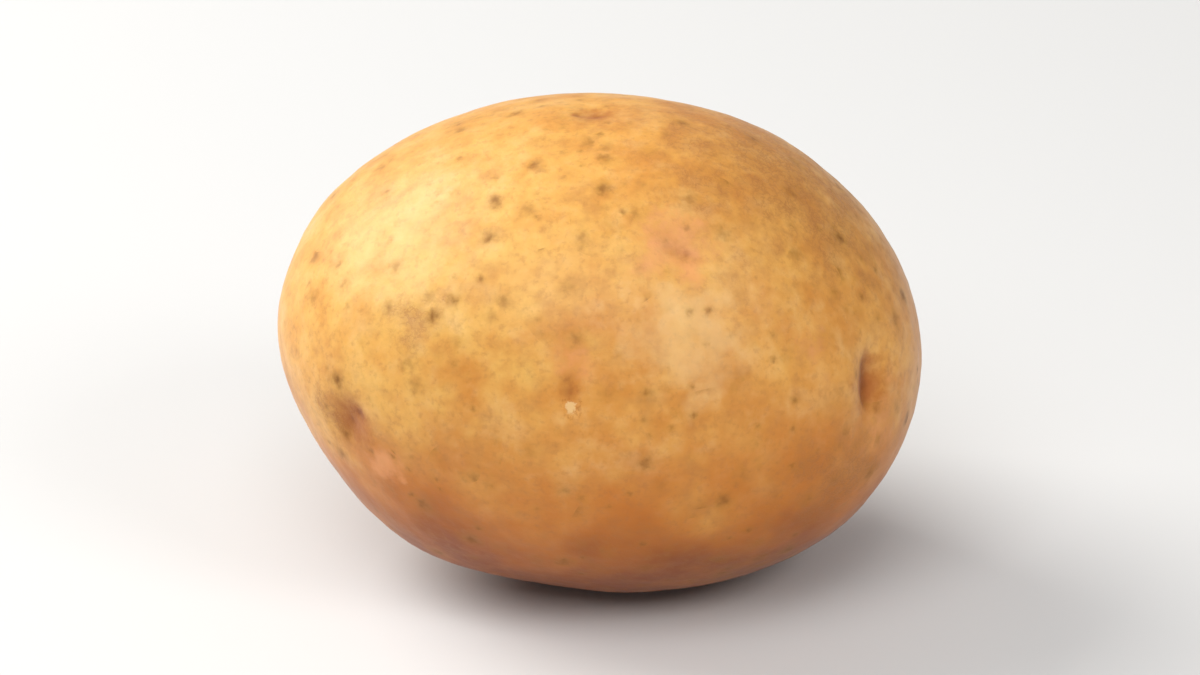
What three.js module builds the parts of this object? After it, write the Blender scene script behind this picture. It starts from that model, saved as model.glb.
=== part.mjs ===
// A round-oval table potato, one grown solid, lying on its side with its underside pressed a little flat.
// Millimetres, +Z up. The origin is on the resting spot, under the middle of the tuber's box.
// The tuber's own axis runs from the heel end, where the stolon held it, at -X,
// to the rose end, where the buds crowd together, at +X. The side shown first faces -Y.

import * as THREE from "three";
import { mergeVertices } from "three/addons/utils/BufferGeometryUtils.js";

// Driving sizes of the tuber, before it leans and is pressed flat.
const LENGTH = 81; // heel end to rose end, along its own axis
const BREADTH = 67; // front to back
const THICKNESS = 62; // crown to underside

const FULLNESS = 2; // 2 is an ellipsoid, and more fills out its shoulders
const ROSE_BLUNTNESS = 0.03; // how much fuller the rose end is than the heel end, as a share
const LEAN = THREE.MathUtils.degToRad(6.5); // the rose end lies lower than the heel end

// The resting spot.
const REST_PRESS = 0.8; // how far the lowest stretch is pressed in
const REST_BLEND = 1.2; // height above the flat over which the belly rounds out of it

// The icosahedron's edges are split this many times, which gives 20 (n + 1)^2 triangles.
const SURFACE_DETAIL = 17;

// Broad, low swells (height over 0) and hollows (under 0) that keep the form from being a plain egg.
// along runs from -1 at the heel end to 1 at the rose end. around is in degrees about the long axis:
// 0 faces the front, 90 the crown, 180 the back and 270 the underside. reach and height are in mm.
const SWELLS = [
  { along: -0.72, around: 75, reach: 14, height: -0.4 }, // shoulder over the heel end
  { along: -0.86, around: 310, reach: 10, height: -0.6 }, // cut-in under the heel end
  { along: -0.5, around: 298, reach: 11, height: 1.6 }, // belly behind the cut-in
  { along: 0.3, around: 74, reach: 15, height: 1.5 }, // crown, a little towards the rose end
  { along: 0.12, around: 24, reach: 13, height: 0.5 }, // soft bulge on the front
  { along: 0.78, around: 315, reach: 14, height: 0.5 }, // jowl under the rose end
  { along: 0.35, around: 150, reach: 16, height: -0.9 }, // shallow valley high on the back
  { along: -0.3, around: 205, reach: 19, height: 0.8 }, // low bulge on the back
];

// The eyes, each a shallow hollow with a low brow on its heel side. across is the hollow's whole width
// round the tuber, and depth is at its middle, both in mm.
const EYES = [
  { along: 0.82, around: 20, across: 11, depth: 1.2 }, // the deepest, beside the rose end
  { along: 0.19, around: 48, across: 8, depth: 0.5 },
  { along: -0.1, around: 90, across: 9, depth: 0.6 }, // on the crown
  { along: -0.11, around: 14, across: 6, depth: 0.4 },
  { along: -0.76, around: 344, across: 8, depth: 0.7 }, // low at the heel end
  { along: 0.95, around: 165, across: 8, depth: 1.0 }, // the last bud, on the rose end
  { along: 0.8, around: 266, across: 9, depth: 0.9 },
  { along: 0.62, around: 126, across: 9, depth: 0.8 },
  { along: 0.45, around: 218, across: 10, depth: 0.9 },
  { along: 0.0, around: 172, across: 10, depth: 0.8 },
  { along: -0.24, around: 236, across: 9, depth: 0.6 },
  { along: -0.52, around: 140, across: 9, depth: 0.7 },
];
const EYE_LENGTH_SHARE = 0.6; // an eye is this much as long, heel to rose, as it is wide
const BROW_SHARE = 0.35; // a brow stands this share of the eye's depth proud

// The dimple where the stolon came away, on the heel end.
const HEEL_SCAR = { along: -0.985, around: 150, across: 7, depth: 0.9 };

// A direction on the unit sphere, from a place along and around the tuber.
function directionAt({ along, around }) {
  const turn = THREE.MathUtils.degToRad(around);
  const off = Math.sqrt(1 - along * along);
  return new THREE.Vector3(along, -off * Math.cos(turn), off * Math.sin(turn));
}

// The plain form: a superellipsoid whose cross-section grows towards the rose end.
function plainPoint(direction) {
  const power = (d) => Math.abs(d) ** FULLNESS;
  const radius = (power(direction.x) + power(direction.y) + power(direction.z)) ** (-1 / FULLNESS);
  const point = direction.clone().multiplyScalar(radius);
  const girth = 1 + ROSE_BLUNTNESS * point.x;
  return new THREE.Vector3(
    (point.x * LENGTH) / 2,
    (point.y * girth * BREADTH) / 2,
    (point.z * girth * THICKNESS) / 2,
  );
}

// The outward normal of the ellipsoid that the plain form follows.
function outwardAt(point) {
  return new THREE.Vector3(
    point.x / LENGTH ** 2,
    point.y / BREADTH ** 2,
    point.z / THICKNESS ** 2,
  ).normalize();
}

// A bell curve: 1 at no distance, and close to 0 at twice the reach.
const bell = (distance, reach) => Math.exp(-((distance / reach) ** 2));

// The form with its swells and hollows.
function swollenPoint(direction) {
  const point = plainPoint(direction);
  const lift = SWELLS.reduce(
    (total, swell) =>
      total + swell.height * bell(point.distanceTo(plainPoint(directionAt(swell))), swell.reach),
    0,
  );
  return point.addScaledVector(outwardAt(point), lift);
}

// Gives the function that scales a point so that all of them fill the driving sizes, round the origin.
function fitToSizes(points) {
  const box = new THREE.Box3().setFromPoints(points);
  const size = box.getSize(new THREE.Vector3());
  const centre = box.getCenter(new THREE.Vector3());
  const scale = new THREE.Vector3(LENGTH, BREADTH, THICKNESS).divide(size);
  return (point) => point.clone().sub(centre).multiply(scale);
}

// How far an eye lifts (over 0) or sinks (under 0) the skin at a point.
function eyeRelief(eye, centre, point) {
  const outward = outwardAt(centre);
  const toRose = new THREE.Vector3(1, 0, 0).addScaledVector(outward, -outward.x).normalize();
  const round = new THREE.Vector3().crossVectors(outward, toRose);
  const offset = point.clone().sub(centre);
  const halfAcross = eye.across / 2;
  const halfLong = halfAcross * EYE_LENGTH_SHARE;
  const side = offset.dot(round) / halfAcross;
  const deep = offset.dot(outward) / halfAcross;
  const forward = offset.dot(toRose) / halfLong;
  const hollow = bell(Math.hypot(side, forward, deep), 1);
  const brow = bell(Math.hypot(side, forward + 2, deep), 1);
  return eye.depth * (BROW_SHARE * brow - hollow);
}

// Presses everything below the plane z = 0 onto it, and eases the skin just above into the flat.
function pressed(z) {
  if (z <= 0) return 0;
  const share = z / REST_BLEND;
  return share >= 1 ? z : REST_BLEND * share * share * (2 - share);
}

function buildTuber() {
  const geometry = new THREE.IcosahedronGeometry(1, SURFACE_DETAIL);
  geometry.deleteAttribute("normal");
  geometry.deleteAttribute("uv");
  const sphere = mergeVertices(geometry);
  const place = sphere.getAttribute("position");
  const directions = Array.from({ length: place.count }, (_, i) =>
    new THREE.Vector3().fromBufferAttribute(place, i).normalize(),
  );

  const swollen = directions.map(swollenPoint);
  const fit = fitToSizes(swollen);
  const centreOf = (spot) => fit(swollenPoint(directionAt(spot)));
  const eyes = EYES.map((eye) => ({ eye, centre: centreOf(eye) }));
  const scar = centreOf(HEEL_SCAR);
  const reliefAt = (point) =>
    eyes.reduce((total, { eye, centre }) => total + eyeRelief(eye, centre, point), 0) -
    HEEL_SCAR.depth * bell(point.distanceTo(scar), HEEL_SCAR.across / 2);

  const yAxis = new THREE.Vector3(0, 1, 0);
  const points = swollen.map((raw) => {
    const point = fit(raw);
    return point.addScaledVector(outwardAt(point), reliefAt(point)).applyAxisAngle(yAxis, LEAN);
  });

  const box = new THREE.Box3().setFromPoints(points);
  const middle = box.getCenter(new THREE.Vector3());
  const restPlane = box.min.z + REST_PRESS;
  points.forEach((point, i) => {
    place.setXYZ(i, point.x - middle.x, point.y - middle.y, pressed(point.z - restPlane));
  });
  sphere.computeVertexNormals();
  return sphere;
}

const skin = new THREE.MeshStandardMaterial({ color: 0xd9a55c, roughness: 0.55, metalness: 0 });
const potato = new THREE.Mesh(buildTuber(), skin);
potato.name = "potato";

const part = new THREE.Group();
part.add(potato);
export default part;
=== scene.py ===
"""A round-oval yellow table potato lying on its side on a pale floor, under soft studio light.

The tuber's long axis runs from the heel end, where the stolon held it, at -X, to the rose end, where the
buds crowd together, at +X. Blender units are metres. Sizes of things on the skin are given in millimetres.
"""

import math
from collections import namedtuple

import bmesh
import bpy
import numpy as np
from mathutils import Matrix, Vector
from mathutils.bvhtree import BVHTree


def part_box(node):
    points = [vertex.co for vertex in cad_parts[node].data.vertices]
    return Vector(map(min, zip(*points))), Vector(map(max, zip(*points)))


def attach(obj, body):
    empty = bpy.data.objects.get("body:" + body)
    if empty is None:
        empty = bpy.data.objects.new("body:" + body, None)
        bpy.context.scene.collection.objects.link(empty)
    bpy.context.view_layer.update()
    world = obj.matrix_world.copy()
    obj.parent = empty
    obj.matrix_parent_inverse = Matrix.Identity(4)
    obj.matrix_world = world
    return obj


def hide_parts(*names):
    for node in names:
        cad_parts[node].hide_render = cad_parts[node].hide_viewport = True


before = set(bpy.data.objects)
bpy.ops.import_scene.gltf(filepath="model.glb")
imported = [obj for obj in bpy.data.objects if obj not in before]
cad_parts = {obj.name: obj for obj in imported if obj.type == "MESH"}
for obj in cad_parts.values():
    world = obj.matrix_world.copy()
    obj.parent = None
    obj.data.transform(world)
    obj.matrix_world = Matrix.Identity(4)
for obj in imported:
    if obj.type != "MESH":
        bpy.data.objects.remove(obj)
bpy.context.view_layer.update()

MM = 0.001

# ------------------------------------------------------------------------------------------- the tuber

# How the tuber lies: its rose end is the lower one, and its underside is pressed a little flat.
LEAN = math.radians(6.5)
REST_PRESS = 0.8 * MM

# Places on the skin. along runs from -1 at the heel end to 1 at the rose end. around is in degrees about
# the long axis: 0 faces the front, 90 the crown, 180 the back and 270 the underside.

# An eye is across mm wide. cut is how deep its crease is, in mm. turn swings the crease, which otherwise
# runs round the tuber, by so many degrees. bend is how far it curls, forward up to 1 or back below 0. tint
# is how brown its hollow is, from 0 to 1.
Eye = namedtuple("Eye", "along around across cut turn bend tint")
EYES = [
    Eye(0.82, 20, 10, 0.65, 12, -0.35, 0.7),  # the deepest, beside the rose end
    Eye(0.19, 48, 8, 0.18, 80, 0.2, 0.3),
    Eye(-0.1, 90, 7, 0.08, 85, 0.2, 0.7),  # on the crown
    Eye(-0.11, 14, 5, 0.15, 20, 0.4, 0.3),
    Eye(-0.76, 344, 8, 0.2, -20, 0.4, 0.95),  # low at the heel end
    Eye(0.95, 165, 8, 0.6, 10, 0.6, 0.7),  # the last bud, on the rose end
    Eye(0.8, 266, 9, 0.5, -8, 0.5, 0.5),
    Eye(0.62, 126, 9, 0.45, 12, 0.4, 0.5),
    Eye(0.45, 218, 10, 0.5, -10, 0.6, 0.6),
    Eye(0.0, 172, 10, 0.45, 8, 0.5, 0.5),
    Eye(-0.24, 236, 9, 0.4, 15, 0.5, 0.4),
    Eye(-0.52, 140, 9, 0.35, -12, 0.6, 0.5),
]

CREASE_WAVES = 3  # mm, the length of the waves in a crease
CREASE_SWAY = 0.9  # mm, how far they carry it from side to side

# What runs along an eye's crease. forward is how far in front of the crease it lies and breadth is how broad
# it is, both in mm, and height is in shares of the eye's cut.
Fold = namedtuple("Fold", "forward breadth height")
EYE_FOLDS = [
    Fold(0, 0.9, -0.4),  # the crease
    Fold(0.3, 2.2, -0.5),  # the valley that it lies in
    Fold(-2.8, 1.7, 0.35),  # the brow behind it
    Fold(3.1, 1.9, 0.35),  # the bank before it
]

# The two buds before the crease, in mm, or in shares of half the eye's width.
BUD_FORWARD = 0.35  # mm
BUD_SHIFT = 0.25  # share, how far to one side the middle between them lies
BUD_APART = 0.3  # share, how far each lies from that middle
BUD_BREADTH = 0.65  # mm
BUD_DEPTH = 0.12  # mm
BUD_BAYS = 1.4  # mm, how broad the bays of their edges are
BUD_WANDER = 1.8  # mm, how far their edges stray

# Marks on the skin. reach is in mm, and strength runs from 0 to 1.
Mark = namedtuple("Mark", "along around reach strength")
RUSSET_AND_SHADE = [  # fine brown netting and stains, and one band of painted shade
    Mark(0.45, 85, 18, 1.0),
    Mark(-0.6, 26, 4.5, 0.8),
    Mark(-0.8, 345, 5.0, 0.85),
    # painted shade: the dark band that runs down from the deepest eye, where the side curves away from the
    # light
    Mark(0.75, 345, 7.0, 1.0),
    Mark(0.45, 310, 12, 0.5),
    Mark(0.75, 200, 13, 0.6),
    Mark(-0.25, 190, 10, 0.5),
    Mark(-0.8, 170, 9, 0.8),
    Mark(-0.4, 262, 11, 0.7),
]
BLUSH = [  # pink, thin-skinned spots
    Mark(0.15, 50, 4.5, 0.9),
    Mark(-0.65, 335, 3.2, 0.8),
    Mark(-0.1, 20, 2.8, 0.5),
    Mark(0.6, 30, 3.5, 0.4),
    Mark(0.85, 5, 5.0, 0.45),
    Mark(0.3, 160, 6.0, 0.6),
    Mark(-0.5, 220, 5.0, 0.6),
]
BLOOM_AND_HIGHLIGHT = [  # pale, dull spots, where the skin was rubbed, and painted highlight and sheen on the lit upper left and front
    # partly a pale rubbed patch, partly painted sheen where the fill light glances off the front
    Mark(0.25, 30, 7.5, 0.9),
    # painted highlight, where the key light's sheen lies on the upper left
    Mark(-0.65, 45, 13, 0.6),
    Mark(-0.1, 150, 9.0, 0.6),
    Mark(0.4, 245, 8.0, 0.6),
]
STRAW_AND_HIGHLIGHT_PATCHES = [  # broad, clear yellow patches, the first of them a painted highlight
    # painted highlight: the broad pale yellow where the key light falls on the upper left
    Mark(-0.5, 32, 16, 1.0),
    Mark(0.25, 352, 9, 0.7),
    Mark(0.3, 215, 16, 1.0),
]
BRONZE_PATCHES = [  # broad patches of deeper, duller gold
    Mark(-0.1, 3, 15, 1.0),
    Mark(0.15, 82, 15, 0.6),
    Mark(-0.1, 170, 15, 0.7),
]
FLAKES = [  # loose flakes of dry skin
    Mark(-0.1, 10, 1.3, 1.0),
    Mark(0.1, 330, 0.5, 0.8),
    Mark(0.2, 315, 0.6, 0.8),
    Mark(-0.3, 200, 0.8, 0.9),
    Mark(0.5, 150, 0.6, 0.8),
]

# The scar where the stolon came away, at the heel end, with its radius in mm: a dry stub in a corky disc.
HEEL_SCAR = Mark(-0.985, 150, 2.6, 1.0)
STUB_HEIGHT = 0.35  # mm
SCAR_GROOVE = 0.25  # mm, the depth of the groove round the disc

MARKS = {
    "Russet": RUSSET_AND_SHADE,
    "Blush": BLUSH,
    "Bloom": BLOOM_AND_HIGHLIGHT,
    "Straw": STRAW_AND_HIGHLIGHT_PATCHES,
    "Bronze": BRONZE_PATCHES,
    "Flakes": FLAKES,
    "Heel Scar": [HEEL_SCAR],
}
SMALL_MARKS = ("Flakes", "Heel Scar")
MARK_BAYS = 4 * MM  # how broad the bays and tongues of a mark's edge are
BROAD_WANDER = 2.2  # how far a broad mark's edge strays from round, in shares of its reach
SMALL_WANDER = 0.5  # the same for a small mark

# The breathing pores: how far apart they lie and their radius, both in mm, what share of the places holds
# one, and how dark they are.
Pores = namedtuple("Pores", "spacing radius share strength")
LARGE_PORES = Pores(4.6, 0.75, 0.85, 1.0)
SMALL_PORES = Pores(2.6, 0.38, 0.6, 0.7)
PORE_CLUSTER = 13  # mm, how broad the clusters and the bare stretches between them are

# The skin's own unevenness: how high and how broad each wave is.
SWELL_HEIGHT, SWELL_BREADTH = 0.5 * MM, 22 * MM
DIMPLE_HEIGHT, DIMPLE_BREADTH = 0.12 * MM, 5 * MM
GRAIN_HEIGHT, GRAIN_BREADTH = 0.05 * MM, 1.5 * MM
FLAT_RIM = 2 * MM  # how high above the floor the relief comes to its full height

# Each of the six sides of the skin's grid has this many steps, which gives 12 n^2 triangles.
GRID_STEPS = 126
FORM_SMOOTHING = 2  # how many times the CAD form is subdivided before the grid is laid on it
RAY_LENGTH = 1.0  # m, far longer than the tuber


# --------------------------------------------------------------------------------------- node wiring


class Wiring:
    """Adds nodes to a tree and joins them up, so that a tree reads like the sums that it makes."""

    def __init__(self, tree):
        self.tree = tree

    def feed(self, socket, value):
        if isinstance(value, bpy.types.NodeSocket):
            self.tree.links.new(value, socket)
        else:
            socket.default_value = value

    def node(self, kind, inputs=(), **settings):
        made = self.tree.nodes.new(kind)
        for name, value in settings.items():
            setattr(made, name, value)
        for key, value in dict(inputs).items():
            self.feed(made.inputs[key], value)
        return made

    def math(self, operation, *values):
        return self.node("ShaderNodeMath", enumerate(values), operation=operation).outputs[0]

    def add(self, first, *rest):
        for value in rest:
            first = self.math("ADD", first, value)
        return first

    def times(self, first, *rest):
        for value in rest:
            first = self.math("MULTIPLY", first, value)
        return first

    def vector(self, operation, *values, out="Vector"):
        made = self.node("ShaderNodeVectorMath", operation=operation)
        for index, value in enumerate(values):
            is_scale = operation == "SCALE" and index == 1
            self.feed(made.inputs["Scale" if is_scale else index], value)
        return made.outputs[out]

    def fade(self, value, start, end, low=0.0, high=1.0):
        """Goes smoothly from low to high as value goes from start to end, and no further."""
        inputs = {0: value, 1: start, 2: end, 3: low, 4: high}
        return self.node("ShaderNodeMapRange", inputs, interpolation_type="SMOOTHSTEP").outputs[0]

    def bell(self, value):
        """1 where value is 0, and close to 0 where it is 2 or more."""
        return self.math("EXPONENT", self.times(value, value, -1))

    def one_over(self, value):
        is_socket = isinstance(value, bpy.types.NodeSocket)
        return self.math("DIVIDE", 1.0, value) if is_socket else 1 / value

    def noise(self, place, breadth, detail, roughness=0.5):
        """Smooth noise from 0 to 1 round a half, with waves as broad as breadth."""
        inputs = {"Vector": place, "Scale": self.one_over(breadth), "Detail": detail, "Roughness": roughness}
        return self.node("ShaderNodeTexNoise", inputs).outputs["Fac"]

    def sway(self, place, breadth, detail, roughness=0.5):
        """The same noise, from a half below 0 to a half above it."""
        return self.math("SUBTRACT", self.noise(place, breadth, detail, roughness), 0.5)

    def stray(self, place, breadth, reach):
        """A smooth random way off each place, up to about half of reach along each axis."""
        inputs = {"Vector": place, "Scale": self.one_over(breadth), "Detail": 3.0}
        noise = self.node("ShaderNodeTexNoise", inputs)
        way = self.vector("SUBTRACT", noise.outputs["Color"], (0.5, 0.5, 0.5))
        return self.vector("SCALE", way, reach)


def new_tree(name, kind, inputs, outputs):
    """A node tree with named sockets, given as (name, socket type, value or None)."""
    tree = bpy.data.node_groups.new(name, kind)
    for side, sockets in (("INPUT", inputs), ("OUTPUT", outputs)):
        for label, socket_type, value in sockets:
            socket = tree.interface.new_socket(label, in_out=side, socket_type=socket_type)
            if value is not None:
                socket.default_value = value
    wiring = Wiring(tree)
    return tree, wiring, wiring.node("NodeGroupInput").outputs, wiring.node("NodeGroupOutput")


def set_input(modifier, name, value):
    """Sets a modifier's input by its socket's identifier."""
    sockets = modifier.node_group.interface.items_tree
    socket = next(s for s in sockets if s.name == name and s.in_out == "INPUT")
    modifier[socket.identifier] = value


# ------------------------------------------------------------------------------- places on the tuber


def merged_copy(node_name):
    """A copy of a CAD node's mesh with its loose corners merged."""
    work = bmesh.new()
    work.from_mesh(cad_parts[node_name].data)
    bmesh.ops.remove_doubles(work, verts=work.verts, dist=0.01 * MM)
    mesh = bpy.data.meshes.new(node_name + "_merged")
    work.to_mesh(mesh)
    work.free()
    return mesh


class Tuber:
    """Finds places on the tuber's skin from how far along and around it they are."""

    def __init__(self, mesh):
        low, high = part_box("potato")
        self.half = (high - low) / 2
        self.middle = (high + low) / 2 - Vector((0, 0, REST_PRESS / 2))
        self.lean = Matrix.Rotation(LEAN, 3, "Y")
        corners = [v.co for v in mesh.vertices]
        self.tree = BVHTree.FromPolygons(corners, [p.vertices for p in mesh.polygons])

    def spot(self, along, around):
        """The place on the skin, the way out of it, and the way along it towards the rose end."""
        turn = math.radians(around)
        off = math.sqrt(1 - along * along)
        unit = Vector((along, -off * math.cos(turn), off * math.sin(turn)))
        toward = self.lean @ Vector(a * b for a, b in zip(unit, self.half))
        place = self.tree.ray_cast(self.middle, toward)[0]
        outward = self.lean @ Vector(a / b for a, b in zip(unit, self.half))
        outward.normalize()
        rose = self.lean @ Vector((1, 0, 0))
        rose = (rose - outward * rose.dot(outward)).normalized()
        return place, outward, rose


def points_object(name, rows):
    """Loose points that carry numbers for a node tree to read. Each row is a dict with a place."""
    mesh = bpy.data.meshes.new(name)
    mesh.from_pydata([row["place"] for row in rows], [], [])
    for key, sample in rows[0].items():
        is_vector = isinstance(sample, Vector)
        attribute = mesh.attributes.new(key, "FLOAT_VECTOR" if is_vector else "FLOAT", "POINT")
        values = np.array([row[key] for row in rows], dtype=np.float32).ravel()
        attribute.data.foreach_set("vector" if is_vector else "value", values)
    made = bpy.data.objects.new(name, mesh)
    bpy.context.scene.collection.objects.link(made)
    return made


def field_name(label):
    """The name under which the skin carries what a socket gives."""
    return label.lower().replace(" ", "_")


def mark_points(name, tuber, marks):
    rows = []
    for mark in marks:
        place, _, _ = tuber.spot(mark.along, mark.around)
        rows.append({"place": place, "reach": mark.reach * MM, "strength": mark.strength})
    return points_object(name, rows)


def eye_points(tuber):
    rows = []
    for eye in EYES:
        place, outward, rose = tuber.spot(eye.along, eye.around)
        toward = Matrix.Rotation(math.radians(eye.turn), 3, outward) @ rose
        rows.append({
            "place": place,
            "outward": outward,
            "toward": toward,
            "half": eye.across / 2,
            "bend": eye.bend,
            "cut": eye.cut,
            "tint": eye.tint,
        })
    return points_object("eye_spots", rows)


# ------------------------------------------------------------------------------ the skin's node trees

FLOAT, VECTOR, GEOMETRY = "NodeSocketFloat", "NodeSocketVector", "NodeSocketGeometry"


def nearest_reader(wiring, points):
    """A function that reads what the point nearest to each place on the skin carries, and that place."""
    position = wiring.node("GeometryNodeInputPosition").outputs[0]
    nearest = wiring.node(
        "GeometryNodeSampleNearest", {"Geometry": points, "Sample Position": position}
    ).outputs[0]

    def read(name):
        kind = "FLOAT_VECTOR" if name in ("place", "outward", "toward") else "FLOAT"
        carried = wiring.node("GeometryNodeInputNamedAttribute", {"Name": name}, data_type=kind)
        sample = {"Geometry": points, "Value": carried.outputs["Attribute"], "Index": nearest}
        return wiring.node("GeometryNodeSampleIndex", sample, data_type=kind).outputs[0]

    return read, position


def build_mark_tree():
    """How strongly the nearest mark shows at each place. Wander is how far its edge strays from round."""
    inputs = [("Points", GEOMETRY, None), ("Wander", FLOAT, 1.0)]
    tree, w, given, out = new_tree("Skin Mark", "GeometryNodeTree", inputs, [("Strength", FLOAT, None)])
    read, position = nearest_reader(w, given["Points"])
    reach = read("reach")
    stray = w.stray(position, MARK_BAYS, w.times(reach, given["Wander"]))
    distance = w.vector("DISTANCE", w.vector("ADD", position, stray), read("place"), out="Value")
    w.feed(out.inputs[0], w.times(w.bell(w.math("DIVIDE", distance, reach)), read("strength")))
    return tree


def from_mark(w, strength):
    """How far from a mark's middle a place is, in shares of its reach, worked back from its strength."""
    return w.math("SQRT", w.times(w.math("LOGARITHM", w.math("MAXIMUM", strength, 1e-6), math.e), -1))


def eye_lines(w, place, forward, side, half, bend):
    """How far each place is from an eye's crease and from its two buds, and how the crease ends.

    All are in mm. forward is measured towards the rose end and side along the crease, from the eye's middle,
    half is half the eye's width, and bend is how far its crease curls.
    """
    waver = w.times(w.sway(place, CREASE_WAVES, detail=2.0), CREASE_SWAY)
    share = w.math("DIVIDE", side, half)
    curl = w.times(share, side, bend, 0.3)
    from_crease = w.add(forward, waver, w.times(curl, -1), w.times(half, 0.12))
    ends = w.fade(w.math("ABSOLUTE", share), 0.95, 0.25)

    from_middle = w.math("ABSOLUTE", w.add(side, w.times(half, -BUD_SHIFT)))
    from_buds = w.node("ShaderNodeCombineXYZ", {
        0: w.add(from_crease, -BUD_FORWARD),
        1: w.math("SUBTRACT", from_middle, w.times(half, BUD_APART)),
    }).outputs[0]
    from_buds = w.vector("ADD", from_buds, w.stray(place, BUD_BAYS, BUD_WANDER))
    return from_crease, ends, w.vector("LENGTH", from_buds, out="Value")


EYE_OUTPUTS = [
    ("Relief", FLOAT, None),
    ("Place", VECTOR, None),  # how far forward of the eye's middle and to its side, in mm
    ("Half", FLOAT, None),
    ("Bend", FLOAT, None),
    ("Cut", FLOAT, None),
    ("Tint", FLOAT, None),
    ("Near", FLOAT, None),
]


def build_eye_tree():
    """The nearest eye: its relief, with its folds and buds, and what its finish needs."""
    tree, w, given, out = new_tree("Eye", "GeometryNodeTree", [("Points", GEOMETRY, None)], EYE_OUTPUTS)
    read, position = nearest_reader(w, given["Points"])
    outward, toward = read("outward"), read("toward")
    half, bend, cut = read("half"), read("bend"), read("cut")
    offset = w.vector("SCALE", w.vector("SUBTRACT", position, read("place")), 1 / MM)
    forward, side = (
        w.vector("DOT_PRODUCT", offset, axis, out="Value")
        for axis in (toward, w.vector("CROSS_PRODUCT", outward, toward))
    )
    distance = w.math("DIVIDE", w.vector("LENGTH", offset, out="Value"), half)
    near = w.fade(distance, 2.2, 1.2)
    place = w.vector("SCALE", position, 1 / MM)
    from_crease, ends, from_buds = eye_lines(w, place, forward, side, half, bend)

    folds = []
    for fold in EYE_FOLDS:
        from_fold = w.math("DIVIDE", w.add(from_crease, -fold.forward), fold.breadth)
        folds.append(w.times(w.bell(from_fold), ends, fold.height))
    buds = w.times(w.bell(w.math("DIVIDE", from_buds, BUD_BREADTH)), -BUD_DEPTH)
    relief = w.add(w.times(w.add(*folds), cut), buds)

    w.feed(out.inputs["Relief"], w.times(relief, near, MM))
    spot = w.node("ShaderNodeCombineXYZ", {0: forward, 1: side}).outputs[0]
    traits = {"Place": spot, "Half": half, "Bend": bend, "Cut": cut, "Tint": read("tint"), "Near": near}
    for name, value in traits.items():
        w.feed(out.inputs[name], value)
    return tree


SKIN_INPUTS = [
    ("Geometry", GEOMETRY, None),
    ("Grid Steps", "NodeSocketInt", GRID_STEPS),
    *((name, "NodeSocketObject", None) for name in ("Eyes", *MARKS)),
    ("Swell Height", FLOAT, SWELL_HEIGHT),
    ("Dimple Height", FLOAT, DIMPLE_HEIGHT),
    ("Grain Height", FLOAT, GRAIN_HEIGHT),
    ("Material", "NodeSocketMaterial", None),
]


def skin_grid(w, given):
    """A grid of even squares, wrapped round the tuber and laid on its smoothed form."""
    smooth = w.node(
        "GeometryNodeSubdivisionSurface", {"Mesh": given["Geometry"], "Level": FORM_SMOOTHING}
    ).outputs[0]
    corners = w.math("ADD", given["Grid Steps"], 1)
    cube = w.node("GeometryNodeMeshCube", {
        "Size": (2, 2, 2), "Vertices X": corners, "Vertices Y": corners, "Vertices Z": corners,
    }).outputs["Mesh"]
    position = w.node("GeometryNodeInputPosition").outputs[0]
    cube = w.node("GeometryNodeStoreNamedAttribute", {
        "Geometry": cube, "Name": "cube_place", "Value": position,
    }, data_type="FLOAT_VECTOR").outputs[0]

    # Rays run from outside the box to its middle, and the grid's corners go where they meet the form.
    evened = w.vector("TANGENT", w.vector("SCALE", position, math.pi / 4))
    direction = w.vector("NORMALIZE", evened)
    box = w.node("GeometryNodeBoundBox", {"Geometry": given["Geometry"]}).outputs
    half = w.vector("SCALE", w.vector("SUBTRACT", box["Max"], box["Min"]), 0.5)
    middle = w.vector("SCALE", w.vector("ADD", box["Max"], box["Min"]), 0.5)
    reach = w.vector("MULTIPLY", direction, w.vector("SCALE", half, 2.0))
    hit = w.node("GeometryNodeRaycast", {
        "Target Geometry": smooth,
        "Source Position": w.vector("ADD", middle, reach),
        "Ray Direction": w.vector("SCALE", reach, -1.0),
        "Ray Length": RAY_LENGTH,
    }).outputs["Hit Position"]
    return w.node("GeometryNodeSetPosition", {"Geometry": cube, "Position": hit}).outputs[0]


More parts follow.
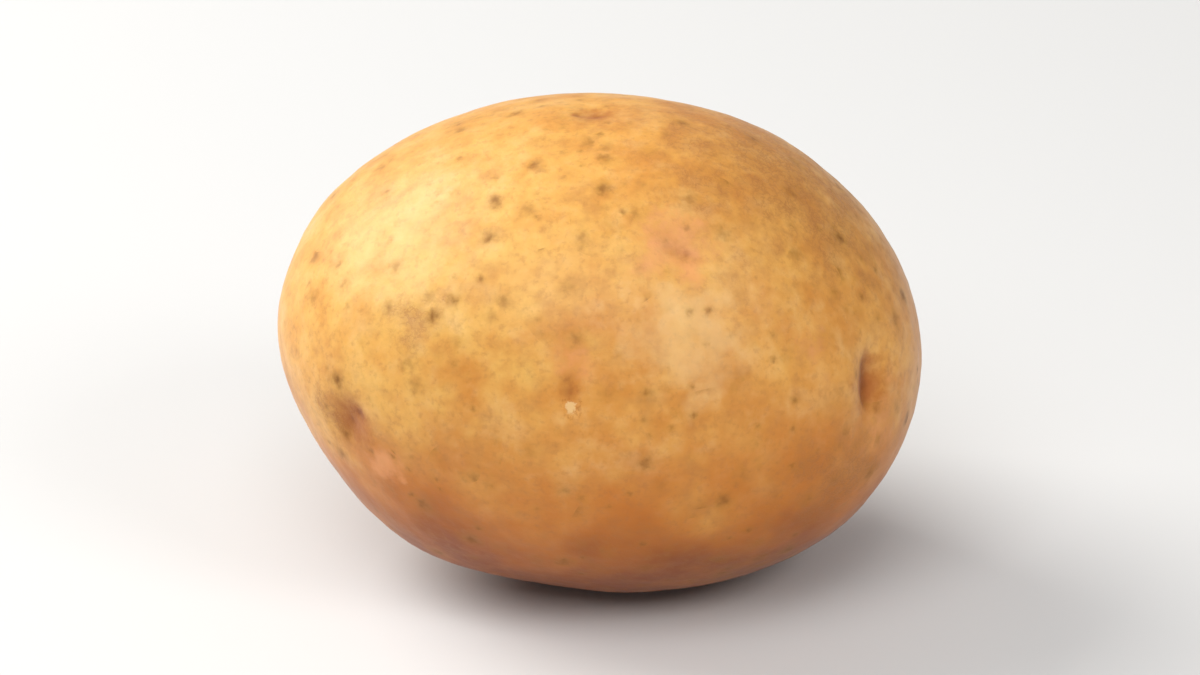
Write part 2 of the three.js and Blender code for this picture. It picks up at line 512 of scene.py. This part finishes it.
def build_skin_tree():
    """The whole skin: a fine grid on the tuber's form, with its eyes, marks and unevenness."""
    outputs = [("Geometry", GEOMETRY, None)]
    tree, w, given, out = new_tree("Potato Skin", "GeometryNodeTree", SKIN_INPUTS, outputs)

    def placed(name):
        return w.node("GeometryNodeObjectInfo", {"Object": given[name]}).outputs["Geometry"]

    skin = skin_grid(w, given)

    eye = w.node("GeometryNodeGroup", node_tree=build_eye_tree())
    w.feed(eye.inputs["Points"], placed("Eyes"))
    fields = {"eye_" + field_name(name): eye.outputs[name] for name, _, _ in EYE_OUTPUTS[1:]}
    mark_tree = build_mark_tree()
    for name in MARKS:
        mark = w.node("GeometryNodeGroup", node_tree=mark_tree)
        w.feed(mark.inputs["Wander"], SMALL_WANDER if name in SMALL_MARKS else BROAD_WANDER)
        w.feed(mark.inputs["Points"], placed(name))
        fields[field_name(name)] = mark.outputs["Strength"]
    for name, value in fields.items():
        kind = "FLOAT_VECTOR" if name == "eye_place" else "FLOAT"
        skin = w.node("GeometryNodeStoreNamedAttribute", {
            "Geometry": skin, "Name": name, "Value": value,
        }, data_type=kind).outputs[0]

    position = w.node("GeometryNodeInputPosition").outputs[0]
    waves = [
        w.times(w.sway(position, breadth, detail=1.0), 2, given[name])
        for name, breadth in (
            ("Swell Height", SWELL_BREADTH),
            ("Dimple Height", DIMPLE_BREADTH),
            ("Grain Height", GRAIN_BREADTH),
        )
    ]
    from_stub = from_mark(w, fields["heel_scar"])  # in shares of the scar's radius
    stub = w.times(w.bell(w.times(from_stub, 2.6)), STUB_HEIGHT * MM)
    groove = w.times(w.bell(w.times(w.add(from_stub, -0.95), 4.0)), -SCAR_GROOVE * MM)
    relief = w.add(*waves, eye.outputs["Relief"], stub, groove)
    height = w.node("ShaderNodeSeparateXYZ", {0: position}).outputs["Z"]
    relief = w.times(relief, w.fade(height, 0.0, FLAT_RIM))  # the resting spot stays flat
    normal = w.node("GeometryNodeInputNormal").outputs[0]
    skin = w.node("GeometryNodeSetPosition", {
        "Geometry": skin, "Offset": w.vector("SCALE", normal, relief),
    }).outputs[0]

    skin = w.node("GeometryNodeSetShadeSmooth", {"Geometry": skin}).outputs[0]
    skin = w.node("GeometryNodeRealizeInstances", {"Geometry": skin}).outputs[0]
    skin = w.node(
        "GeometryNodeSetMaterial", {"Geometry": skin, "Material": given["Material"]}
    ).outputs[0]
    w.feed(out.inputs[0], skin)
    return tree


# --------------------------------------------------------------------------------- the skin's finish


def paint(code):
    """A colour from its six-figure code, as the light that it gives back."""
    parts = [int(code[i:i + 2], 16) / 255 for i in (1, 3, 5)]
    linear = [c / 12.92 if c <= 0.04045 else ((c + 0.055) / 1.055) ** 2.4 for c in parts]
    return (*linear, 1.0)


GOLD = paint("#e3a953")
HONEY = paint("#cf8d3e")
AMBER = paint("#c06c14")
SHADE_UMBER = paint("#803802")
TAN = paint("#a66a34")
RUST = paint("#a4560f")
PINK = paint("#eba268")
STRAW_AND_HIGHLIGHT = paint("#eabd64")
PALE = paint("#edc98e")
OLIVE = paint("#b07a24")
PORE_BROWN = paint("#7a4703")
CREASE_BROWN = paint("#683308")
SCAR_BROWN = paint("#5e3a18")
CORK = paint("#a97c4a")
FLAKE = paint("#e8bf84")


# How broad the waves of the finish are, in mm.
BROAD_WAVES = 14
BLOTCHES = 6.5
MOTTLE = 3.2
CRUMBLE = 1.6
NETTING = 1.3
STREAKS = 1.1
SPECKLE = 0.9
TEARS = 0.8
GRIT = 0.55

STREAKS_STRETCH = (0.2, 1.0, 1.0)  # draws the streaks out along the tuber

# How far two of them are moved aside, in mm, so that they do not follow the others.
BLOTCHES_ASIDE = (31, 7, 3)
CRUMBLE_ASIDE = (5, 11, 2)

# How high above the floor the ground's deeper colours come in, in mm: painted shade, deepening towards the
# floor where the underside lies in shade.
HONEY_SHADE_HEIGHT = 36
AMBER_SHADE_HEIGHT = 28
UMBER_SHADE_HEIGHT = 17.5

CREASE_BREADTH = 0.65  # mm
VALLEY_SHADE_BREADTH = 1.4  # mm, how broad the painted shade in the valley beside a crease is, laid in rust brown

SATIN = 0.4  # how rough clean skin is
BUMP_DEPTH = 0.09 * MM


def build_ragged_tree():
    """Turns a soft mask into a ragged one, broken up by fine noise."""
    inputs = [
        ("Mask", FLOAT, 0.0), ("Place", VECTOR, None), ("Size", FLOAT, 1.0), ("Raggedness", FLOAT, 0.5),
    ]
    tree, w, given, out = new_tree("Ragged Edge", "ShaderNodeTree", inputs, [("Mask", FLOAT, None)])
    rough = w.sway(given["Place"], given["Size"], detail=4.0, roughness=0.6)
    ragged = w.add(given["Mask"], w.times(rough, given["Raggedness"], 2.0))
    w.feed(out.inputs[0], w.times(w.fade(ragged, 0.1, 0.9), w.fade(given["Mask"], 0.0, 0.3)))
    return tree


def build_pores_tree():
    """Breathing pores at random: a small dark middle with a soft, ragged edge, and a faint ring about it.

    The skin cuts through the pores' cells at chance depths, so they come in many sizes.
    """
    inputs = [
        ("Place", VECTOR, None), ("Spacing", FLOAT, 5.0), ("Radius", FLOAT, 0.8), ("Share", FLOAT, 1.0),
    ]
    outputs = [("Core", FLOAT, None), ("Ring", FLOAT, None)]
    tree, w, given, out = new_tree("Breathing Pores", "ShaderNodeTree", inputs, outputs)
    radius = given["Radius"]
    rough = w.stray(given["Place"], w.math("DIVIDE", radius, 0.7), w.times(radius, 2.2))
    pattern = {
        "Vector": w.vector("ADD", given["Place"], rough),
        "Scale": w.one_over(given["Spacing"]),
        "Randomness": 0.85,
    }
    cells = w.node("ShaderNodeTexVoronoi", pattern).outputs
    to_edge = w.node("ShaderNodeTexVoronoi", pattern, feature="DISTANCE_TO_EDGE").outputs["Distance"]
    chance = w.node("ShaderNodeSeparateColor", {0: cells["Color"]}).outputs
    clusters = w.fade(w.noise(given["Place"], PORE_CLUSTER, detail=1.0), 0.4, 0.6, low=0.35)
    present = w.math("LESS_THAN", chance[0], w.times(given["Share"], clusters))
    strength = w.times(present, w.add(0.35, w.times(chance[1], 0.65)), w.fade(to_edge, 0.0, 0.12))
    distance = w.math("DIVIDE", w.times(cells["Distance"], given["Spacing"]), radius)
    w.feed(out.inputs["Core"], w.times(w.bell(distance), strength))
    w.feed(out.inputs["Ring"], w.times(w.bell(w.times(distance, 0.5)), strength))
    return tree


class Finish(Wiring):
    """The wiring of the skin's finish: the colour laid so far, and the patterns that its parts share."""

    def __init__(self, tree):
        super().__init__(tree)
        self.colour = GOLD
        self.place = self.vector("SCALE", self.node("ShaderNodeTexCoord").outputs["Object"], 1 / MM)
        self.mottle = self.noise(self.place, MOTTLE, detail=4.0, roughness=0.6)
        self.speckle = self.noise(self.place, SPECKLE, detail=3.0, roughness=0.6)
        self.ragged_tree = build_ragged_tree()

    def carried(self, name, out="Fac"):
        """What the skin carries at each place under this name."""
        return self.node("ShaderNodeAttribute", attribute_name=name).outputs[out]

    def lay(self, colour, amount):
        """Lays a colour over the colour so far. At an amount of 1 it covers it."""
        mix = self.node("ShaderNodeMix", {0: amount, 6: self.colour, 7: colour}, data_type="RGBA")
        self.colour = mix.outputs[2]

    def group(self, tree, inputs):
        return self.node("ShaderNodeGroup", inputs, node_tree=tree).outputs

    def ragged(self, mask, size, raggedness):
        inputs = {"Mask": mask, "Place": self.place, "Size": size, "Raggedness": raggedness}
        return self.group(self.ragged_tree, inputs)["Mask"]


def finish_ground(w):
    """Gold and honey with pale yellow and bronze patches, amber and umber low down, and a mottle over it
    all. The low amber and umber are painted shade, the honey deepens as painted shade low down and towards
    the rose end, and one pale yellow patch is a painted highlight.
    """
    axes = w.node("ShaderNodeSeparateXYZ", {0: w.place}).outputs
    broad = w.noise(w.place, BROAD_WAVES, detail=3.0, roughness=0.55)
    drawn_out = w.vector("MULTIPLY", w.place, STREAKS_STRETCH)
    streaks = w.noise(drawn_out, STREAKS, detail=2.0)
    aside = w.vector("ADD", w.place, BLOTCHES_ASIDE)
    blotches = w.noise(aside, BLOTCHES, detail=3.0, roughness=0.6)

    def below(height, rate):
        """Grows downwards from 0 at a height, by rate for each mm."""
        return w.times(w.add(axes["Z"], -height), -rate)

    shade_to_rose_end = w.times(axes["X"], 0.004)
    # Honey in broad random patches, and as painted shade that deepens low down and towards the rose end, the
    # side turned from the key light.
    w.lay(HONEY, w.fade(w.add(broad, shade_to_rose_end, below(HONEY_SHADE_HEIGHT, 0.0065)), 0.3, 0.75))
    # Pale yellow patches; the broad one on the upper left is a painted highlight.
    w.lay(STRAW_AND_HIGHLIGHT, w.times(w.carried("straw"), 0.7))
    w.lay(AMBER, w.times(w.carried("bronze"), w.fade(broad, 0.3, 0.7, low=0.42, high=0.75)))
    w.lay(PALE, w.times(w.fade(blotches, 0.5, 0.28), 0.16))
    w.lay(PALE, w.times(w.fade(w.mottle, 0.52, 0.25), 0.22))
    # Painted shade: amber and then umber laid low down, deepest next to the floor, where the underside lies
    # in shade.
    w.lay(AMBER, w.times(w.fade(w.add(broad, below(AMBER_SHADE_HEIGHT, 0.03)), 0.3, 0.95), 0.9))
    w.lay(SHADE_UMBER, w.times(w.fade(w.add(broad, below(UMBER_SHADE_HEIGHT, 0.045)), 0.35, 1.0), 0.9))
    w.lay(AMBER, w.times(w.fade(blotches, 0.45, 0.72), 0.32))
    w.lay(TAN, w.times(w.fade(w.mottle, 0.45, 0.78), 0.38))
    w.lay(TAN, w.times(w.fade(w.speckle, 0.48, 0.75), 0.32))
    w.lay(TAN, w.times(w.fade(streaks, 0.5, 0.8), 0.1))


def finish_worn_spots_and_painted_light(w):
    """Rusty-brown netting and stains, blush, and pale rubbed spots, with one band of painted shade and some
    painted highlight and sheen. Gives back the brown marks, the netting and the pale spots.
    """
    ridges = w.math("ABSOLUTE", w.sway(w.place, NETTING, detail=3.0, roughness=0.65))
    netting = w.fade(ridges, 0.07, 0.0)
    # Brown netting and stains, and one band of painted shade below the deepest eye.
    russet = w.ragged(w.carried("russet"), size=2.2, raggedness=0.5)
    w.lay(TAN, w.times(russet, w.add(0.42, w.times(netting, 0.3))))
    blush = w.ragged(w.carried("blush"), size=1.6, raggedness=0.45)
    w.lay(PINK, w.times(blush, 0.7))
    # Pale rubbed spots, and painted highlight and sheen on the lit upper left and front.
    bloom = w.ragged(w.carried("bloom"), size=3.5, raggedness=0.35)
    w.lay(PALE, w.times(bloom, 0.4))
    return russet, netting, bloom


def finish_eyes(w):
    """The nearest eye's stain, crease and buds, with painted shade in the crease and the valley beside it.
    Gives back how strongly the crease shows.
    """
    spot = w.node("ShaderNodeSeparateXYZ", {0: w.carried("eye_place", "Vector")}).outputs
    forward, side = spot["X"], spot["Y"]
    half, near, tint = w.carried("eye_half"), w.carried("eye_near"), w.carried("eye_tint")
    from_crease, ends, from_buds = eye_lines(w, w.place, forward, side, half, w.carried("eye_bend"))

    spread = w.math("SQRT", w.add(w.times(forward, forward), w.times(side, side)))
    stain = w.times(w.bell(w.math("DIVIDE", spread, w.times(half, 0.9))), near, tint)
    w.lay(RUST, w.times(w.ragged(stain, size=1.5, raggedness=0.5), 0.72))

    cut = w.times(ends, near, w.fade(w.carried("eye_cut"), 0.1, 0.7, low=0.15))
    # Painted shade in the valley beside the crease, in rust brown, darker where the eye is cut deeper.
    valley_shade = w.bell(w.math("DIVIDE", w.add(from_crease, -0.5), VALLEY_SHADE_BREADTH))
    w.lay(RUST, w.times(valley_shade, cut, 0.5))
    # The crease's dark line: partly the brown of the eye's scar, partly painted shade, darker where the eye
    # is cut deeper.
    broken = w.fade(w.speckle, 0.3, 0.6, low=0.55)
    crease = w.times(w.bell(w.math("DIVIDE", from_crease, CREASE_BREADTH)), cut, broken)
    w.lay(CREASE_BROWN, w.times(crease, 0.65))

    buds = w.times(near, w.add(0.1, w.times(tint, 0.8)), w.fade(w.mottle, 0.38, 0.58, low=0.3))
    from_buds = w.math("DIVIDE", from_buds, BUD_BREADTH)
    w.lay(RUST, w.times(w.bell(w.times(from_buds, 0.6)), buds, 0.8))
    w.lay(CREASE_BROWN, w.times(w.bell(w.times(from_buds, 1.2)), buds, 0.6))
    return crease


def finish_pores(w):
    """Large and small breathing pores. Gives back how strongly their dark middles show."""
    tree = build_pores_tree()
    middles = []
    for pores in (LARGE_PORES, SMALL_PORES):
        inputs = {"Place": w.place, "Spacing": pores.spacing, "Radius": pores.radius, "Share": pores.share}
        pore = w.group(tree, inputs)
        middle = w.times(pore["Core"], pores.strength)
        w.lay(OLIVE, w.times(pore["Ring"], 0.4, pores.strength))
        w.lay(PORE_BROWN, w.times(middle, 0.9))
        middles.append(middle)
    return w.add(*middles)


def finish_flakes(w):
    """Torn flakes of dry skin with rusty edges, which also stand in as painted shadow round each lifted
    flake. Gives back how strongly they show.
    """
    strength = w.carried("flakes")
    tears = w.sway(w.place, TEARS, detail=3.0, roughness=0.7)
    peel = w.add(strength, w.times(tears, 1.6))
    whole = w.fade(strength, 0.1, 0.3)
    # A rusty edge round each flake: partly torn skin, partly painted shadow of the lifted flake.
    torn_edge_and_shadow = w.times(w.bell(w.times(w.add(peel, -0.55), 6)), whole, w.fade(w.speckle, 0.45, 0.6))
    w.lay(RUST, w.times(torn_edge_and_shadow, 0.5))
    flake = w.times(w.fade(peel, 0.68, 0.95), whole)
    w.lay(FLAKE, w.times(flake, 0.8))
    return flake


def finish_heel_scar(w):
    """The corky disc at the heel end, its brown rim and its dry stub. Gives back the disc."""
    aside = w.vector("ADD", w.place, CRUMBLE_ASIDE)
    crumble = w.sway(aside, CRUMBLE, detail=4.0, roughness=0.65)
    from_stub = w.add(
        from_mark(w, w.carried("heel_scar")), w.times(crumble, 1.5), w.times(w.add(w.speckle, -0.5), 0.5)
    )
    disc = w.fade(from_stub, 1.05, 0.75)
    w.lay(TAN, w.times(w.bell(w.times(from_stub, 0.6)), 0.5))
    w.lay(CORK, w.times(disc, w.add(0.35, w.times(w.speckle, 0.7))))
    rim = w.times(w.bell(w.times(w.add(from_stub, -0.9), 4.0)), w.fade(w.mottle, 0.35, 0.6))
    stub = w.fade(from_stub, 0.5, 0.1)
    w.lay(SCAR_BROWN, w.math("MAXIMUM", w.times(rim, 0.55), w.times(stub, 0.75)))
    return disc


def skin_material():
    """Thin waxy skin: gold and honey patches, rusty-brown netting, pores, creases, a dull satin gloss, with
    painted shade low down, by the creases and round flakes, and painted highlight and sheen on the lit upper
    left and front.
    """
    material = bpy.data.materials.new("potato_skin")
    material.use_nodes = True
    material.node_tree.nodes.clear()
    w = Finish(material.node_tree)
    finish_ground(w)
    russet, netting, bloom = finish_worn_spots_and_painted_light(w)
    crease = finish_eyes(w)
    pores = finish_pores(w)
    flake = finish_flakes(w)
    disc = finish_heel_scar(w)

    roughness = w.add(
        SATIN, w.times(w.mottle, 0.12), w.times(russet, 0.12), w.times(bloom, 0.08), w.times(pores, 0.15)
    )
    grit = w.noise(w.place, GRIT, detail=3.0, roughness=0.6)
    height = w.add(
        w.times(grit, 0.6), w.times(w.mottle, 0.5),
        w.times(russet, netting, -0.35), w.times(pores, -0.6), w.times(flake, 1.2),
        w.times(crease, -2.0), w.times(disc, w.speckle, 0.9),
    )
    bump = w.node("ShaderNodeBump", {"Strength": 0.5, "Distance": BUMP_DEPTH, "Height": height})

    skin = w.node("ShaderNodeBsdfPrincipled", {
        "Base Color": w.colour,
        "Roughness": roughness,
        "Normal": bump.outputs["Normal"],
        "IOR": 1.42,
        "Subsurface Weight": 0.12,
        "Subsurface Radius": (1.0, 0.45, 0.15),
        "Subsurface Scale": 1.5 * MM,
        "Sheen Weight": 0.12,
        "Sheen Roughness": 0.35,
    })
    output = w.node("ShaderNodeOutputMaterial")
    w.feed(output.inputs["Surface"], skin.outputs[0])
    return material


# --------------------------------------------------------------------------------- making the potato

# The grid's six sides lie in three columns and two rows on the bake map, with a gap round each.
MAP_COLUMNS, MAP_ROWS, MAP_GAP = 3, 2, 0.01


def lay_out_map(mesh):
    """Gives the mesh a map with each of the grid's six sides in a cell of its own."""
    place = np.empty(len(mesh.vertices) * 3, np.float32)
    mesh.attributes["cube_place"].data.foreach_get("vector", place)
    loops = np.empty(len(mesh.loops), np.int32)
    mesh.loops.foreach_get("vertex_index", loops)
    corners = place.reshape(-1, 3)[loops].reshape(-1, 4, 3)
    centre = corners.mean(axis=1)
    axis = np.abs(centre).argmax(axis=1)
    rows = np.arange(len(centre))
    sign = np.sign(centre[rows, axis])
    first = corners[rows, :, (axis + 1) % 3] * sign[:, None]
    second = corners[rows, :, (axis + 2) % 3]
    inside = 1 - 2 * MAP_GAP
    u = (axis[:, None] + MAP_GAP + inside * (first + 1) / 2) / MAP_COLUMNS
    v = ((sign[:, None] + 1) / 2 + MAP_GAP + inside * (second + 1) / 2) / MAP_ROWS
    layer = mesh.uv_layers.new(name="OFBake")
    layer.uv.foreach_set("vector", np.stack([u, v], axis=2).astype(np.float32).ravel())
    mesh.attributes.remove(mesh.attributes["cube_place"])


def make_potato():
    """The whole potato as one plain mesh, grown by the skin's node tree on the CAD form."""
    form = merged_copy("potato")
    tuber = Tuber(form)
    host = bpy.data.objects.new("potato_form", form)
    bpy.context.scene.collection.objects.link(host)
    spots = {"Eyes": eye_points(tuber)}
    for name, marks in MARKS.items():
        spots[name] = mark_points(field_name(name), tuber, marks)
    modifier = host.modifiers.new("Potato Skin", "NODES")
    modifier.node_group = build_skin_tree()
    for name, points in spots.items():
        set_input(modifier, name, points)
    set_input(modifier, "Material", skin_material())

    evaluated = host.evaluated_get(bpy.context.evaluated_depsgraph_get())
    mesh = bpy.data.meshes.new_from_object(evaluated)
    mesh.name = "whole_potato"
    lay_out_map(mesh)
    potato = bpy.data.objects.new("whole_potato", mesh)
    bpy.context.scene.collection.objects.link(potato)
    for scratch in (host, *spots.values()):
        bpy.data.objects.remove(scratch)
    return potato


# ------------------------------------------------------------------------------------------ the studio

CAMERA_ELEVATION = math.radians(24)
CAMERA_DISTANCE = 0.9
FRAME_SHARE = 0.74  # how much of the picture's height the potato fills
SENSOR_WIDTH = 36.0  # mm
PICTURE_ASPECT = 1200 / 675
SEEN_BREADTH = 0.25  # how much of the breadth, as seen from above, is added to the height

# Area lights that face the potato, in degrees, metres and watts. Azimuth 0 is on the camera's side, and
# 90 is at +X.
Softbox = namedtuple("Softbox", "name azimuth elevation distance size power colour")
SOFTBOXES = [
    Softbox("key", -118, 38, 0.9, 0.65, 9.0, (1.0, 0.98, 0.94)),
    Softbox("overhead", -15, 52, 1.0, 0.7, 5.8, (1.0, 1.0, 1.0)),
    Softbox("fill", 48, 37, 0.9, 0.3, 2.05, (1.0, 0.99, 0.97)),
]
SKY_STRENGTH = 0.28

FLOOR_BREADTH = 6.0
FLOOR_GREY = (0.7, 0.7, 0.7, 1)
FLOOR_ROUGHNESS = 0.7


def aim(thing, target, way, distance):
    """Puts a camera or a light at a distance from the target, and turns it to face it."""
    thing.location = target + way * distance
    thing.rotation_euler = (-way).to_track_quat("-Z", "Y").to_euler()
    bpy.context.scene.collection.objects.link(thing)


def make_camera(target, size):
    """A long lens that looks down on the potato's front."""
    way = Vector((0, -math.cos(CAMERA_ELEVATION), math.sin(CAMERA_ELEVATION)))
    seen_height = size.z * math.cos(CAMERA_ELEVATION) + size.y * math.sin(CAMERA_ELEVATION) * SEEN_BREADTH
    data = bpy.data.cameras.new("camera")
    data.sensor_width = SENSOR_WIDTH
    data.lens = (SENSOR_WIDTH / PICTURE_ASPECT) * CAMERA_DISTANCE / (seen_height / FRAME_SHARE)
    camera = bpy.data.objects.new("camera", data)
    aim(camera, target, way, CAMERA_DISTANCE)
    bpy.context.scene.camera = camera


def make_softbox(target, box):
    turn, rise = math.radians(box.azimuth), math.radians(box.elevation)
    way = Vector((math.sin(turn) * math.cos(rise), -math.cos(turn) * math.cos(rise), math.sin(rise)))
    data = bpy.data.lights.new(box.name, "AREA")
    data.shape = "SQUARE"
    data.size = box.size
    data.energy = box.power
    data.color = box.colour
    aim(bpy.data.objects.new(box.name, data), target, way, box.distance)


def make_floor():
    half = FLOOR_BREADTH / 2
    corners = [(-half, -half, 0), (half, -half, 0), (half, half, 0), (-half, half, 0)]
    mesh = bpy.data.meshes.new("floor")
    mesh.from_pydata(corners, [], [(0, 1, 2, 3)])
    floor = bpy.data.objects.new("floor", mesh)
    bpy.context.scene.collection.objects.link(floor)
    material = bpy.data.materials.new("pale_floor")
    material.use_nodes = True
    surface = material.node_tree.nodes["Principled BSDF"]
    surface.inputs["Base Color"].default_value = FLOOR_GREY
    surface.inputs["Roughness"].default_value = FLOOR_ROUGHNESS
    mesh.materials.append(material)


def make_world():
    world = bpy.data.worlds.new("studio")
    world.use_nodes = True
    background = world.node_tree.nodes["Background"]
    background.inputs["Color"].default_value = (1, 1, 1, 1)
    background.inputs["Strength"].default_value = SKY_STRENGTH
    bpy.context.scene.world = world


def main():
    low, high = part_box("potato")
    target = (low + high) / 2
    make_camera(target, high - low)
    make_world()
    make_floor()
    for box in SOFTBOXES:
        make_softbox(target, box)
    bpy.context.scene.view_settings.view_transform = "Standard"

    potato = make_potato()
    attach(potato, "root")
    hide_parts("potato")


main()
